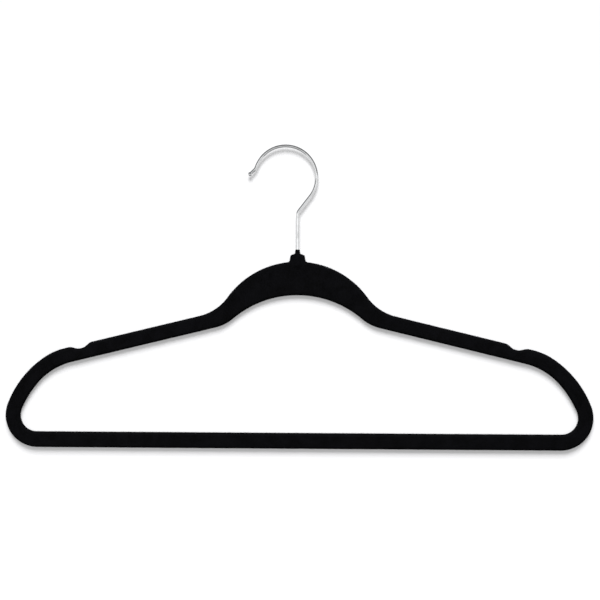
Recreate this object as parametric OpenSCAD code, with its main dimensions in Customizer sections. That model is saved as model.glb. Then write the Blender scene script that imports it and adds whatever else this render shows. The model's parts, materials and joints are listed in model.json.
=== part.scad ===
// Slim flocked clothes hanger with a trouser bar and a swivelling wire hook.
//
// Millimetres, +Z up, hanging upright. X runs across the width and Y through
// the thickness, with the front facing -Y. The origin is the rail seat: the
// inner top of the hook's curl, where the hanger sits on its rail.
//
// Three pieces: a chrome-plated wire hook whose upset head turns in the neck,
// a moulded body, and the cover of flock that is glued all over the body.
//
// Everything is drawn in a workshop frame first: x from the swivel axis and z
// up from the underside of the trouser bar. placed() moves it to the origin.

/* [Overall] */
// Width over the two ends
overall_w = 445; // [440:1:460]
// Thickness over the flock
overall_t = 5; // [4.6:0.1:6]
// Radius that rounds the edges of the strip
edge_r = 2; // [1.2:0.1:2.2]

/* [Crown] */
// Top of the crown above the underside of the bar
crown_top = 141.6; // [139:0.2:144]
// Radius of the crown's outer arc
crown_r = 65.5; // [63:0.5:70]
// Depth of the crescent on the centre line
crown_depth = 25.4; // [23:0.2:27]
// Radius of the arch under the crown
arch_r = 75.6; // [73:0.2:79]
// Radius that blends the crown's outer arc into the shoulder
crown_blend_r = 37; // [33:1:39]
// Radius that blends the arch into the shoulder
arch_blend_r = 33; // [28:1:35]

/* [Shoulders] */
// Fall of the shoulder below level, in degrees
shoulder_fall = 13.6; // [13.5:0.1:14.4]
// Height at which the shoulder's top edge would meet the centre line
shoulder_z = 118.3; // [117.4:0.1:118.8]
// Width of the shoulder and end strips
strip_w = 11.4; // [10:0.1:12.4]

/* [Ends] */
// Outer edge: radius of the curve that leaves the shoulder
end_top_r = 47; // [46:0.5:48]
// Outer edge: radius of the flatter flank
end_flank_r = 75; // [74.5:0.5:77]
// Outer edge: height round the end, in degrees, at which the flank gives way
end_flank_a = 21; // [20:0.5:21.5]
// Outer edge: radius of the curve down to the bar
end_low_r = 24.5; // [24:0.5:25.5]
// Inner edge: radius of the curve that leaves the shoulder
bay_top_r = 50; // [48:0.5:52]
// Inner edge: radius of the flatter flank
bay_flank_r = 80; // [78:0.5:82]
// Inner edge: height round the end, in degrees, at which the flank gives way
bay_flank_a = 24; // [23:0.5:25]
// Inner edge: radius of the corner above the bar
bay_low_r = 12.5; // [12:0.5:13]

/* [Trouser bar] */
// Height of the trouser bar
bar_h = 12; // [10:0.2:13]

/* [Strap notches] */
// Where the notch starts, across from the swivel axis
notch_x = 156.8; // [145:0.2:157]
// Depth of the notch below the shoulder's edge
notch_depth = 2.9; // [1.5:0.1:3.4]
// Length of the ramp on the neck side
notch_ramp_in = 6.8; // [5:0.2:7]
// Length of the notch's floor
notch_floor = 1.9; // [1:0.1:2]
// Length of the ramp on the end side
notch_ramp_out = 9.1; // [6:0.1:9.5]

/* [Neck] */
// Width of the neck boss at half its height
neck_w = 11.1; // [10:0.1:12]
// Lean of the boss's sides off vertical, in degrees
neck_splay = 8; // [3:1:10]
// Peak of the boss's sloping top above the crown
neck_peak = 6.8; // [6.6:0.1:8]
// Slope of the boss's top, in degrees
neck_slope = 21; // [20:1:30]
// Radius of the boss's corners
neck_corner_r = 1.2; // [1.2:0.1:1.5]
// Radius that blends the boss into the crown
neck_blend_r = 2.1; // [1.5:0.1:3]
// Diameter of the barrel that houses the swivel
barrel_d = 7.4; // [7.2:0.1:8.4]
// Height of the tip of flock round the wire, above the crown
tip_h = 9.1; // [8.6:0.1:10]
// Diameter at the foot of the flock tip
tip_foot_d = 3.9; // [3.7:0.1:4.4]
// Diameter at the top of the flock tip
tip_top_d = 3.3; // [2.9:0.05:3.4]

/* [Hook] */
// Diameter of the hook's wire
wire_d = 2.3; // [2:0.1:2.4]
// Radius of the curl, to the middle of the wire
curl_r = 23.6; // [21:0.2:26]
// How far the curl's centre lies to the left of the swivel axis
curl_offset = 9.3; // [8:0.1:11]
// Height of the curl's centre above the underside of the bar
curl_z = 205.5; // [203:0.1:210]
// Lean of the wire between the kink and the curl, in degrees
hook_lean = 37.9; // [34:0.1:42]
// Radius of the kink, to the middle of the wire
kink_r = 5; // [3:0.5:7]
// Angle round the curl at which the wire turns outwards
curl_end = 161; // [155:1:165]
// Radius of the outward turn, to the middle of the wire
flick_r = 6; // [5:0.5:8]
// Angle that the outward turn covers
flick_turn = 27; // [20:1:35]
// Length of the straight wire behind the rounded end
flick_len = 4.3; // [3.5:0.1:6]
// Diameter of the rounded end
ball_d = 3.2; // [2.8:0.1:3.6]
// Diameter of the upset head that holds the hook in the neck
head_d = 4; // [3.4:0.1:4.2]
// Thickness of the upset head
head_t = 1.4; // [1:0.1:2]
// Depth of the underside of the head below the crown
head_depth = 3.6; // [3.2:0.1:4]

/* [Layers] */
// Thickness of the flock with its glue
flock_t = 0.5; // [0.4:0.05:0.7]
// Clearance round the turning wire and its head
run_gap = 0.05; // [0.03:0.01:0.1]

/* [Hidden] */
$fn = 64;

eps = 0.01;             // a hair, to measure a slope by
edge_steps = 4;         // facets round an edge of the strip
crown_steps = 12;       // steps along half the crown, and half the arch
blend_steps = 6;        // steps round the blend into a shoulder
notch_steps = 16;       // steps along a strap notch
end_steps = [7, 8, 14]; // steps along the top, flank and low curve of an end
corner_steps = 3;       // steps round a corner of the boss
foot_steps = 4;         // steps round the blend at the boss's foot
kink_steps = 6;         // steps round the hook's kink
curl_steps = 34;        // steps round the curl
flick_steps = 4;        // steps round the outward turn
wire_sides = 16;        // sides of the bent wire
barrel_steps = 6;       // facets down the round foot of the barrel
barrel_bevel = 0.8;     // bevel round the top of the barrel
cone_drop = 0.3;        // the barrel's cone below the boss's sloping top
boss_edge_r = 1.1;      // rounding of the boss's edges, less than its corners
tip_root = 1;           // how far the flock tip's cone is sunk in the boss
rod_lap = 1;            // how far the straight stem runs into the bent wire

wire_r = wire_d / 2;
seat_z = curl_z + curl_r - wire_r;
head_z = crown_top - head_depth;
peak_z = crown_top + neck_peak;
crown_c = [0, crown_top - crown_r];
arch_c = [0, crown_top - crown_depth - arch_r];

// The shoulder: unit vectors along it, outwards, and square to it, upwards,
// and the distance of its top edge from the workshop origin.
along = [cos(shoulder_fall), -sin(shoulder_fall)];
square_to = [sin(shoulder_fall), cos(shoulder_fall)];
shoulder_d = shoulder_z * cos(shoulder_fall);

// The boss: directions out of its side and out of its sloping top, and the
// distances of those two faces from the workshop origin.
side_n = [cos(neck_splay), sin(neck_splay)];
side_d = side_n * [neck_w / 2, crown_top + neck_peak / 2];
slope_n = [sin(neck_slope), cos(neck_slope)];
slope_d = slope_n * [0, peak_z];

// Moves a piece from the workshop frame to the rail seat.
module placed() {
    translate([curl_offset, 0, -seat_z])
        children();
}

// ---- Curves ----------------------------------------------------------------
// An outline's point is [x, z, nx, nz, e]: its place, the direction out of
// the material and the radius that rounds the edge there.

// Direction from one point to another, in degrees.
function heading(from, to) = atan2(to[1] - from[1], to[0] - from[0]);

// Points along an arc, all but its last unless last is 1. side is 1 where the
// arc bulges out of the material and -1 where it is hollow.
function arc(c, r, a0, a1, steps, side = 1, e = edge_r, last = 0) =
    [for (i = [0 : steps - 1 + last])
        let (a = a0 + (a1 - a0) * i / steps)
        [c[0] + r * cos(a), c[1] + r * sin(a), side * cos(a), side * sin(a), e]];

// Centre of a circle of radius f that touches the circle (c, r) and the line
// n * p = d, each from outside, or each from inside where f is negative. dir
// points along the line towards the answer that is wanted.
function touching(c, r, n, d, f, dir) =
    let (a = d + f - c * n)
    c + a * n + sqrt(pow(r + f, 2) - a * a) * dir;

// Where the lines n1 * p = d1 and n2 * p = d2 meet.
function meeting(n1, d1, n2, d2) =
    [d1 * n2[1] - d2 * n1[1], d2 * n1[0] - d1 * n2[0]]
    / (n1[0] * n2[1] - n1[1] * n2[0]);

// A smooth rise from 0 to 1 while t goes from 0 to 1.
function ramp(t) = (1 - cos(180 * min(max(t, 0), 1))) / 2;

// Depth of the strap notch at x across from the swivel axis.
function notch_at(x) =
    let (s = x - notch_x)
    notch_depth * ramp(s / notch_ramp_in)
    * (1 - ramp((s - notch_ramp_in - notch_floor) / notch_ramp_out));

// Points across the notch on the shoulder's top edge, where deep is 1, or
// opposite them on its under edge, where deep is 0.
function notch(side, deep) =
    let (len = notch_ramp_in + notch_floor + notch_ramp_out)
    [for (i = [0 : notch_steps - 1])
        let (x = notch_x + len * i / notch_steps,
             top = [x, (shoulder_d - square_to[0] * x) / square_to[1]],
             p = deep == 1 ? top - [0, notch_at(x)] : top - strip_w * square_to,
             fall = tan(shoulder_fall)
                  + deep * (notch_at(x + eps) - notch_at(x - eps)) / (2 * eps),
             n = side * [fall, 1] / norm([fall, 1]))
        [p[0], p[1], n[0], n[1], edge_r]];

// Right half of an edge, from a0 on the arc (c, r) under or over the crown,
// by way of the shoulder and the end, to the middle of the bar.
function side_edge(side, deep, c, r, a0, blend_r, d, top_r, flank_r, flank_a,
                   low_c, low_r) =
    let (blend_c = touching(c, r, square_to, d, blend_r, along),
         flank_c = low_c - (flank_r - low_r) * [cos(flank_a), sin(flank_a)],
         top_c = touching(flank_c, flank_r, square_to, d, -top_r, along),
         top_a = heading(flank_c, top_c))
    concat(
        arc(c, r, a0, heading(c, blend_c), crown_steps, side),
        arc(blend_c, blend_r, 180 + heading(c, blend_c), 270 - shoulder_fall,
            blend_steps, -side, last = 1),
        notch(side, deep),
        arc(top_c, top_r, 90 - shoulder_fall, top_a, end_steps[0], side),
        arc(flank_c, flank_r, top_a, flank_a, end_steps[1], side),
        arc(low_c, low_r, flank_a, -90, end_steps[2], side, last = 1));

// Right half of the neck boss, from its peak down to the crown.
corner_c = meeting(slope_n, slope_d - neck_corner_r, side_n, side_d - neck_corner_r);
boss_blend_c = touching(crown_c, crown_r, side_n, side_d, neck_blend_r,
                        [-side_n[1], side_n[0]]);
crown_a = heading(crown_c, boss_blend_c);
boss_edge = concat(
    [[0, peak_z, 0, 1, boss_edge_r]],
    arc(corner_c, neck_corner_r, 90 - neck_slope, neck_splay, corner_steps,
        1, boss_edge_r, 1),
    arc(boss_blend_c, neck_blend_r, 180 + neck_splay, 180 + crown_a, foot_steps, -1));

// The arch straight below the boss's points, so that the faces between the
// two run upright.
boss_arch = [for (p = boss_edge)
    let (a = acos(p[0] / arch_r))
    [p[0], arch_c[1] + arch_r * sin(a), -cos(a), -sin(a), edge_r]];

// The two edges of the loop. Their points pair up, one for one.
outer_half = concat(boss_edge, side_edge(
    1, 1, crown_c, crown_r, crown_a, crown_blend_r, shoulder_d,
    end_top_r, end_flank_r, end_flank_a,
    [overall_w / 2 - end_low_r, end_low_r], end_low_r));
inner_half = concat(boss_arch, side_edge(
    -1, 0, arch_c, arch_r, acos(crown_r * cos(crown_a) / arch_r), arch_blend_r,
    shoulder_d - strip_w, bay_top_r, bay_flank_r, bay_flank_a,
    [overall_w / 2 - strip_w - bay_low_r, bar_h + bay_low_r], bay_low_r));

// A right half and its mirror image as one closed loop.
function loop(half) =
    concat(half, [for (i = [len(half) - 1 : -1 : 1])
        let (p = half[i])
        [-p[0], p[1], -p[2], p[3], p[4]]]);

// ---- Solids ----------------------------------------------------------------

// Faces of a tube of rings: its rings close on themselves, and close marks a
// tube whose last ring joins its first.
function tube_faces(rings, sides, close) =
    [for (i = [0 : rings - (close ? 1 : 2)], j = [0 : sides - 1])
        let (a = i * sides, b = (i + 1) % rings * sides, k = (j + 1) % sides)
        each [[a + j, a + k, b + k], [a + j, b + k, b + j]]];

// Points round one edge of the strip, from the front face to the back.
function round_edge(p, inset) =
    [for (k = [0 : edge_steps])
        let (a = 180 * k / edge_steps - 90,
             in = inset + (p[4] - inset) * (1 - cos(a)))
        [p[0] - in * p[2], (overall_t / 2 - inset) * sin(a), p[1] - in * p[3]]];

// The closed strip with its crown, shoulders, ends and bar. inset shrinks it
// evenly on every side, from the flock's outside down to the moulding.
module strip(inset) {
    outer = loop(outer_half);
    inner = loop(inner_half);
    stations = len(outer);
    sides = 2 * (edge_steps + 1);
    points = [for (i = [0 : stations - 1])
        let (back = round_edge(inner[i], inset))
        each concat(round_edge(outer[i], inset),
                    [for (k = [edge_steps : -1 : 0]) back[k]])];
    polyhedron(points, tube_faces(stations, sides, true), convexity = 8);
}

// The barrel in the neck that houses the swivel, with a round foot that sinks
// into the crown and a cone under the boss's peak.
module barrel(inset) {
    r = barrel_d / 2 - inset;
    cone_z = peak_z - cone_drop - inset / cos(neck_slope);
    rim = r - barrel_bevel;
    rim_z = cone_z - rim * tan(neck_slope);
    foot = [for (i = [0 : barrel_steps])
        let (a = 90 * i / barrel_steps)
        [r * sin(a), head_z + head_t / 2 - r * cos(a)]];
    rotate_extrude()
        polygon(concat(foot, [[r, rim_z - barrel_bevel], [rim, rim_z], [0, cone_z]]));
}

// The moulding's or the cover's outside, without its tip and its holes.
module neck_and_strip(inset) {
    strip(inset);
    barrel(inset);
}

// The way of the wire through the neck.
module wire_hole() {
    translate([0, 0, head_z + head_t / 2])
        cylinder(r = wire_r + run_gap, h = neck_peak + tip_h);
}

// A chrome-plated wire hook: upset head, stem, kink, curl and rounded end.
kink_z = curl_z - curl_r * sin(hook_lean)
       - (curl_r * cos(hook_lean) - curl_offset) / tan(hook_lean);
bend_z = kink_z - kink_r * tan(hook_lean / 2);
curl_c = [-curl_offset, curl_z];
flick_c = curl_c + (curl_r + flick_r) * [cos(curl_end), sin(curl_end)];
flick_a = 180 + curl_end - flick_turn;
flick_n = -[cos(flick_a), sin(flick_a)];
flick_end = flick_c - flick_r * flick_n;
ball_c = flick_end + flick_len * [-flick_n[1], flick_n[0]];
bent_wire = concat(
    [[0, bend_z - rod_lap, 1, 0]],
    arc([kink_r, bend_z], kink_r, 180, 180 - hook_lean, kink_steps, -1, last = 1),
    arc(curl_c, curl_r, -hook_lean, curl_end, curl_steps),
    arc(flick_c, flick_r, 180 + curl_end, flick_a, flick_steps, -1, last = 1),
    [[ball_c[0], ball_c[1], flick_n[0], flick_n[1]]]);

module wire_hook() {
    // A prism that just holds the round wire, so that the stem ends inside it.
    prism_r = (wire_r + eps / 2) / cos(180 / wire_sides);
    rings = len(bent_wire);
    points = [for (p = bent_wire, j = [0 : wire_sides - 1])
        let (a = 360 * j / wire_sides, out = prism_r * cos(a))
        [p[0] + out * p[2], -prism_r * sin(a), p[1] + out * p[3]]];
    caps = [[for (j = [wire_sides - 1 : -1 : 0]) j],
            [for (j = [0 : wire_sides - 1]) (rings - 1) * wire_sides + j]];
    color("silver") placed() {
        translate([0, 0, head_z])
            cylinder(d = head_d, h = head_t);
        translate([0, 0, head_z + head_t / 2])
            cylinder(r = wire_r, h = bend_z - head_z - head_t / 2);
        polyhedron(points, concat(tube_faces(rings, wire_sides, false), caps),
                   convexity = 4);
        translate([ball_c[0], 0, ball_c[1]])
            sphere(d = ball_d);
    }
}

// The one-piece moulding, with the socket that the head turns in.
module moulded_body() {
    color("#232325") placed()
        difference() {
            neck_and_strip(flock_t);
            wire_hole();
            translate([0, 0, head_z - run_gap])
                cylinder(d = head_d + 2 * run_gap, h = head_t + 2 * run_gap);
        }
}

// The flock all over the moulding, with its tapered tip round the wire.
module flock_cover() {
    tip_z = peak_z - tip_foot_d / 2 * tan(neck_slope);
    color("#0f0f10") placed()
        difference() {
            union() {
                neck_and_strip(0);
                translate([0, 0, tip_z - tip_root])
                    cylinder(d1 = tip_foot_d, d2 = tip_top_d,
                             h = crown_top + tip_h - tip_z + tip_root);
            }
            neck_and_strip(flock_t);
            wire_hole();
        }
}

wire_hook();
moulded_body();
flock_cover();
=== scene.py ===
"""Looks of a slim flocked clothes hanger with a chrome wire hook that swivels in its neck.

Everything is built in millimetres in the CAD model's workshop frame, with x from the swivel axis
and z up from the underside of the trouser bar, and is then placed in metres in the row frame.
"""

import json
import logging
import math
from dataclasses import dataclass, field
from enum import Enum
from functools import partial
from typing import Any, Callable, Optional, Sequence

import bmesh
import bpy
import numpy as np
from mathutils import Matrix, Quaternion, Vector, noise
from numpy.typing import ArrayLike

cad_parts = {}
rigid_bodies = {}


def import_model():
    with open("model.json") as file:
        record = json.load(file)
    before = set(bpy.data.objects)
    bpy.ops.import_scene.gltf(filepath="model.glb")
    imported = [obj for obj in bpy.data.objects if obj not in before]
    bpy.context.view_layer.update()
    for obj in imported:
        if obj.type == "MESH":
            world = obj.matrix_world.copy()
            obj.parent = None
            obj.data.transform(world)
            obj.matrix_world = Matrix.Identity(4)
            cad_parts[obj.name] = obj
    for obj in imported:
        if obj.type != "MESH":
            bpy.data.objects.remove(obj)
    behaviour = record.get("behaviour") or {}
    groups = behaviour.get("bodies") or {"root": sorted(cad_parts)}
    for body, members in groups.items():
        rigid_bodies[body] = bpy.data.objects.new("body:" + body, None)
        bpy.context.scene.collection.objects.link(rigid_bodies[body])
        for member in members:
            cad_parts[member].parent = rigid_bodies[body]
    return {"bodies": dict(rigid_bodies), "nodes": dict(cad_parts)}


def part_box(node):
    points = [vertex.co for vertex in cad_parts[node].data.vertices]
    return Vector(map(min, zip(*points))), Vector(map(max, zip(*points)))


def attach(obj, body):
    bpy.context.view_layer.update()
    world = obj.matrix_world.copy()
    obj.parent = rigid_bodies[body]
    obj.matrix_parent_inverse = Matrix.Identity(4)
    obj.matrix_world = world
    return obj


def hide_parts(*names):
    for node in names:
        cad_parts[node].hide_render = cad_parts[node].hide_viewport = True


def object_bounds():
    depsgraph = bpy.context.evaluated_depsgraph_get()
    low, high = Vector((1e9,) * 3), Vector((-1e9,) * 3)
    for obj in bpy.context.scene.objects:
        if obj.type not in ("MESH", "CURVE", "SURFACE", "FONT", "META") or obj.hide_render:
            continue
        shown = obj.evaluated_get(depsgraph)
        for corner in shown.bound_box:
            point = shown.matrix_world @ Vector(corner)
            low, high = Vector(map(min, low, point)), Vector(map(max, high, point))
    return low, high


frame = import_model()
CAD_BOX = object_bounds()

Adder = Callable[..., bpy.types.Node]

MM = 0.001
SAME_POINT = 1e-7
# What meshes tell their materials and node trees
NAP_EDGE = "nap_edge"
PILE_MASK = "pile_mask"
WIRE_RADIUS = "wire_radius"
WIRE_ROUND = "wire_round"
WIRE_ALONG = "wire_along"
SEE_THROUGH = "see_through"

log = logging.getLogger("hanger")


class Body(Enum):
    """The rigid bodies that pieces ride on."""

    HOOK = "hook"
    HANGER = "hanger"


class Edge(Enum):
    """Which edge of the strip a line of points is, valued by the side its curves bulge to."""

    OUTER = 1
    INNER = -1


# ---- Small tools -----------------------------------------------------------


def linear(hex_colour: str) -> tuple[float, float, float, float]:
    """Turns an sRGB hex colour into linear light.

    Args:
        hex_colour: Six hex digits after a hash sign.

    Returns:
        Red, green, blue and a full alpha.
    """
    shares = [int(hex_colour[i : i + 2], 16) / 255 for i in (1, 3, 5)]
    bright = [c / 12.92 if c <= 0.04045 else ((c + 0.055) / 1.055) ** 2.4 for c in shares]
    return (bright[0], bright[1], bright[2], 1.0)


def add_node(
    tree: bpy.types.NodeTree, kind: str, inputs: Optional[dict[Any, Any]] = None, **settings: Any
) -> bpy.types.Node:
    """Adds a node, sets its properties and fills its inputs.

    Args:
        tree: The node tree that gets the node.
        kind: The node's type name.
        inputs: Input name or index to a value, an output socket, or a node that stands for its
            first live output.
        **settings: The node's own properties.

    Returns:
        The new node.
    """
    node = tree.nodes.new(kind)
    for name, value in settings.items():
        setattr(node, name, value)
    for key, value in (inputs or {}).items():
        if isinstance(value, bpy.types.Node):
            value = next(socket for socket in value.outputs if socket.enabled)
        if isinstance(value, bpy.types.NodeSocket):
            tree.links.new(value, node.inputs[key])
        else:
            node.inputs[key].default_value = value
    return node


def new_material(name: str) -> tuple[bpy.types.Material, Adder, bpy.types.NodeSocket]:
    """Makes an empty node material.

    Args:
        name: The material's name, which says its real finish.

    Returns:
        The material, what adds its nodes, and the socket of the piece's own coordinates in metres.
    """
    material = bpy.data.materials.new(name)
    material.use_nodes = True
    material.node_tree.nodes.clear()
    add = partial(add_node, material.node_tree)
    return material, add, add("ShaderNodeTexCoord").outputs["Object"]


def open_group(
    name: str, inputs: dict[str, Any], result: str
) -> tuple[bpy.types.NodeTree, Adder, Any]:
    """Starts a geometry node tree with named inputs.

    Args:
        name: The tree's name.
        inputs: Each input's name and its value, which is None for geometry.
        result: Name of the geometry that comes out.

    Returns:
        The tree, what adds its nodes, and the sockets of its inputs.
    """
    kinds = {type(None): "Geometry", float: "Float", int: "Int"}
    tree = bpy.data.node_groups.new(name, "GeometryNodeTree")
    for label, value in inputs.items():
        kind = "NodeSocket" + kinds[type(value)]
        socket = tree.interface.new_socket(label, in_out="INPUT", socket_type=kind)
        if value is not None:
            socket.default_value = value
    tree.interface.new_socket(result, in_out="OUTPUT", socket_type="NodeSocketGeometry")
    add = partial(add_node, tree)
    return tree, add, add("NodeGroupInput").outputs


def close_group(
    tree: bpy.types.NodeTree, geometry: bpy.types.Node, material: bpy.types.Material
) -> bpy.types.NodeTree:
    """Ends a geometry node tree with real geometry that wears a material.

    Args:
        tree: The tree to end.
        geometry: The node whose geometry comes out.
        material: What the geometry wears.

    Returns:
        The finished tree.
    """
    real = add_node(tree, "GeometryNodeRealizeInstances", {"Geometry": geometry})
    dressed = add_node(tree, "GeometryNodeSetMaterial", {"Geometry": real, "Material": material})
    add_node(tree, "NodeGroupOutput", {0: dressed})
    return tree


def link_object(name: str, data: bpy.types.ID) -> bpy.types.Object:
    """Puts a mesh, a light or a camera into the scene as an object at the origin.

    Args:
        name: The object's name.
        data: What it shows. A mesh is in metres in the row frame.

    Returns:
        The new object.
    """
    made = bpy.data.objects.new(name, data)
    bpy.context.scene.collection.objects.link(made)
    return made


def mesh_of(name: str, points: np.ndarray, faces: Sequence[Sequence[int]]) -> bpy.types.Mesh:
    """Makes a closed mesh whose faces point outwards.

    Args:
        name: The mesh's name.
        points: Vertices, one row each, in metres.
        faces: Vertex numbers of each face.

    Returns:
        The mesh, smooth shaded.
    """
    mesh = bpy.data.meshes.new(name)
    mesh.from_pydata([tuple(p) for p in points], [], [tuple(f) for f in faces])
    face_outwards(mesh)
    return mesh


def face_outwards(mesh: bpy.types.Mesh) -> None:
    """Merges doubles, turns every face outwards and shades the mesh smooth.

    Args:
        mesh: The mesh to mend in place.
    """
    shape = bmesh.new()
    shape.from_mesh(mesh)
    bmesh.ops.remove_doubles(shape, verts=shape.verts, dist=SAME_POINT)
    bmesh.ops.recalc_face_normals(shape, faces=shape.faces)
    if shape.calc_volume(signed=True) < 0:
        bmesh.ops.reverse_faces(shape, faces=shape.faces)
    for face in shape.faces:
        face.smooth = True
    shape.to_mesh(mesh)
    shape.free()
    mesh.update()


def set_attribute(mesh: bpy.types.Mesh, name: str, values: np.ndarray) -> None:
    """Stores one number for each of a mesh's vertices, under a name."""
    layer = mesh.attributes.get(name) or mesh.attributes.new(name, "FLOAT", "POINT")
    layer.data.foreach_set("value", np.asarray(values, np.float32))


def bake_modifiers(host: bpy.types.Object, name: str) -> bpy.types.Mesh:
    """Turns an object with live modifiers into a plain mesh and removes the object.

    Args:
        host: The object with its modifiers.
        name: The new mesh's name.

    Returns:
        The plain mesh.
    """
    graph = bpy.context.evaluated_depsgraph_get()
    graph.update()
    mesh = bpy.data.meshes.new_from_object(
        host.evaluated_get(graph), preserve_all_data_layers=True, depsgraph=graph
    )
    mesh.name = name
    bpy.data.objects.remove(host)
    return mesh


def tube_faces(rings: int, sides: int, closed: bool) -> list[tuple[int, ...]]:
    """Faces of a tube made of rings of points.

    Args:
        rings: How many rings there are.
        sides: How many points each ring has.
        closed: Whether the last ring joins the first.

    Returns:
        The four-sided faces.
    """
    faces = []
    for i in range(rings if closed else rings - 1):
        here, there = i * sides, (i + 1) % rings * sides
        for j in range(sides):
            k = (j + 1) % sides
            faces.append((here + j, here + k, there + k, there + j))
    return faces


# ---- Plane geometry, in millimetres and degrees ------------------------------


def towards(angle: float) -> np.ndarray:
    """The unit vector at an angle."""
    return np.array([math.cos(math.radians(angle)), math.sin(math.radians(angle))])


def bearing(start: np.ndarray, end: np.ndarray) -> float:
    """The angle from one point to another."""
    return math.degrees(math.atan2(end[1] - start[1], end[0] - start[0]))


def lengths_along(line: np.ndarray) -> np.ndarray:
    """How far along a line each of its points lies."""
    return np.r_[0, np.cumsum(np.hypot(*np.diff(line, axis=0).T))]


def arc(
    centre: np.ndarray, radius: float, start: float, end: float, steps: int, side: int = 1,
    edge: float = 0.0, last: bool = False,
) -> np.ndarray:
    """Points along an arc, without its last unless it is asked for.

    Args:
        centre: The arc's centre.
        radius: Its radius.
        start: The angle it starts at.
        end: The angle it ends at.
        steps: How many steps it is divided into.
        side: 1 where the arc bulges out of the material and -1 where it is hollow.
        edge: Radius that rounds the edge there.
        last: Whether the last point is wanted.

    Returns:
        Rows of x, z, the direction out of the material and the rounding.
    """
    angles = np.radians(start + (end - start) * np.arange(steps + last) / steps)
    out = np.c_[np.cos(angles), np.sin(angles)]
    return np.c_[centre + radius * out, side * out, np.full(len(out), edge)]


def touching(
    centre: np.ndarray, radius: float, normal: np.ndarray, distance: float, other: float, way: np.ndarray
) -> np.ndarray:
    """Centre of a circle that touches a circle and a line.

    Args:
        centre: The given circle's centre.
        radius: Its radius.
        normal: The line's unit normal.
        distance: The line's distance from the origin along its normal.
        other: The new circle's radius, negative where it touches both from inside.
        way: Unit vector along the line towards the answer that is wanted.

    Returns:
        The new circle's centre.
    """
    off = distance + other - centre @ normal
    return centre + off * normal + math.sqrt((radius + other) ** 2 - off * off) * way


def smooth_max(a: np.ndarray, b: np.ndarray, reach: float) -> np.ndarray:
    """The larger of two values, blended where they are less than the reach apart."""
    share = np.clip(reach - np.abs(a - b), 0, None) / reach
    return np.maximum(a, b) + share * share * reach / 4


# ---- Finishes --------------------------------------------------------------


@dataclass(frozen=True)
class NylonFlock:
    """Black nylon flock, shot on end into wet glue.

    It gives the eye a very deep matt black that never shines, a touch greyer in slow patches where
    handling has laid the fibres over, and greyer along the edges: partly where the fibres stand apart,
    partly a painted sheen for the light that the pile catches at its rim.
    """

    pile: str = "#020202"
    tips: str = "#050506"
    # grey for the edges: partly parted fibres, partly painted rim sheen
    rubbed_and_rim_sheen: str = "#060607"
    fibre_mm: float = 0.8  # real fibres are 0.02 mm thick: drawn as coarse as they need to show
    patch_mm: float = 9.0
    name: str = "black_nylon_flock_electrostatic"

    def build(self) -> bpy.types.Material:
        """Builds the flock's material.

        Returns:
            The material.
        """
        material, add, place = new_material(self.name)
        fibres = add(
            "ShaderNodeTexNoise",
            {"Vector": place, "Scale": 1 / (self.fibre_mm * MM), "Detail": 4.0, "Roughness": 0.65},
        )
        patches = add(
            "ShaderNodeTexNoise",
            {"Vector": place, "Scale": 1 / (self.patch_mm * MM), "Detail": 3.0, "Distortion": 0.6},
        )
        speck = add("ShaderNodeMapRange", {"Value": fibres, "From Min": 0.38, "From Max": 0.72})
        laid = add(
            "ShaderNodeMapRange", {"Value": patches, "From Min": 0.35, "From Max": 0.7, "To Max": 0.45}
        )
        amount = add("ShaderNodeMath", {0: speck, 1: laid}, operation="ADD", use_clamp=True)
        body = add(
            "ShaderNodeMix", {0: amount, 6: linear(self.pile), 7: linear(self.tips)}, data_type="RGBA"
        )
        # The edges are painted lighter: partly rubbed, parted fibres, partly a painted sheen for the
        # light caught at the rim.
        edge = add("ShaderNodeAttribute", attribute_name=NAP_EDGE).outputs["Fac"]
        worn_and_sheen_edge = add("ShaderNodeMath", {0: edge, 1: speck}, operation="MULTIPLY")
        colour = add("ShaderNodeMix", {0: worn_and_sheen_edge, 6: body, 7: linear(self.rubbed_and_rim_sheen)}, data_type="RGBA")
        rough = add("ShaderNodeMapRange", {"Value": patches, "To Min": 0.86, "To Max": 1.0})
        nap = add("ShaderNodeBump", {"Height": fibres, "Strength": 0.5, "Distance": 0.25 * MM})
        shader = add(
            "ShaderNodeBsdfPrincipled",
            {
                "Base Color": colour, "Roughness": rough, "IOR": 1.53, "Specular IOR Level": 0.0,
                "Normal": nap,
            },
        )
        add("ShaderNodeOutputMaterial", {"Surface": shader})
        return material


@dataclass(frozen=True)
class FlockFibre:
    """Single black nylon fibres that stand out of the pile.

    They give the eye the soft, slightly furry outline that flock has against a pale ground.
    """

    root: str = "#020202"
    tip: str = "#050506"
    clump_mm: float = 3.0
    name: str = "black_nylon_fibre_cut"

    def build(self) -> bpy.types.Material:
        """Builds the fibres' material.

        Returns:
            The material.
        """
        material, add, place = new_material(self.name)
        clumps = add(
            "ShaderNodeTexNoise", {"Vector": place, "Scale": 1 / (self.clump_mm * MM), "Detail": 2.0}
        )
        colour = add(
            "ShaderNodeMix", {0: clumps, 6: linear(self.root), 7: linear(self.tip)}, data_type="RGBA"
        )
        shader = add(
            "ShaderNodeBsdfPrincipled",
            {"Base Color": colour, "Roughness": 0.7, "IOR": 1.53, "Specular IOR Level": 0.0},
        )
        add("ShaderNodeOutputMaterial", {"Surface": shader})
        return material


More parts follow.
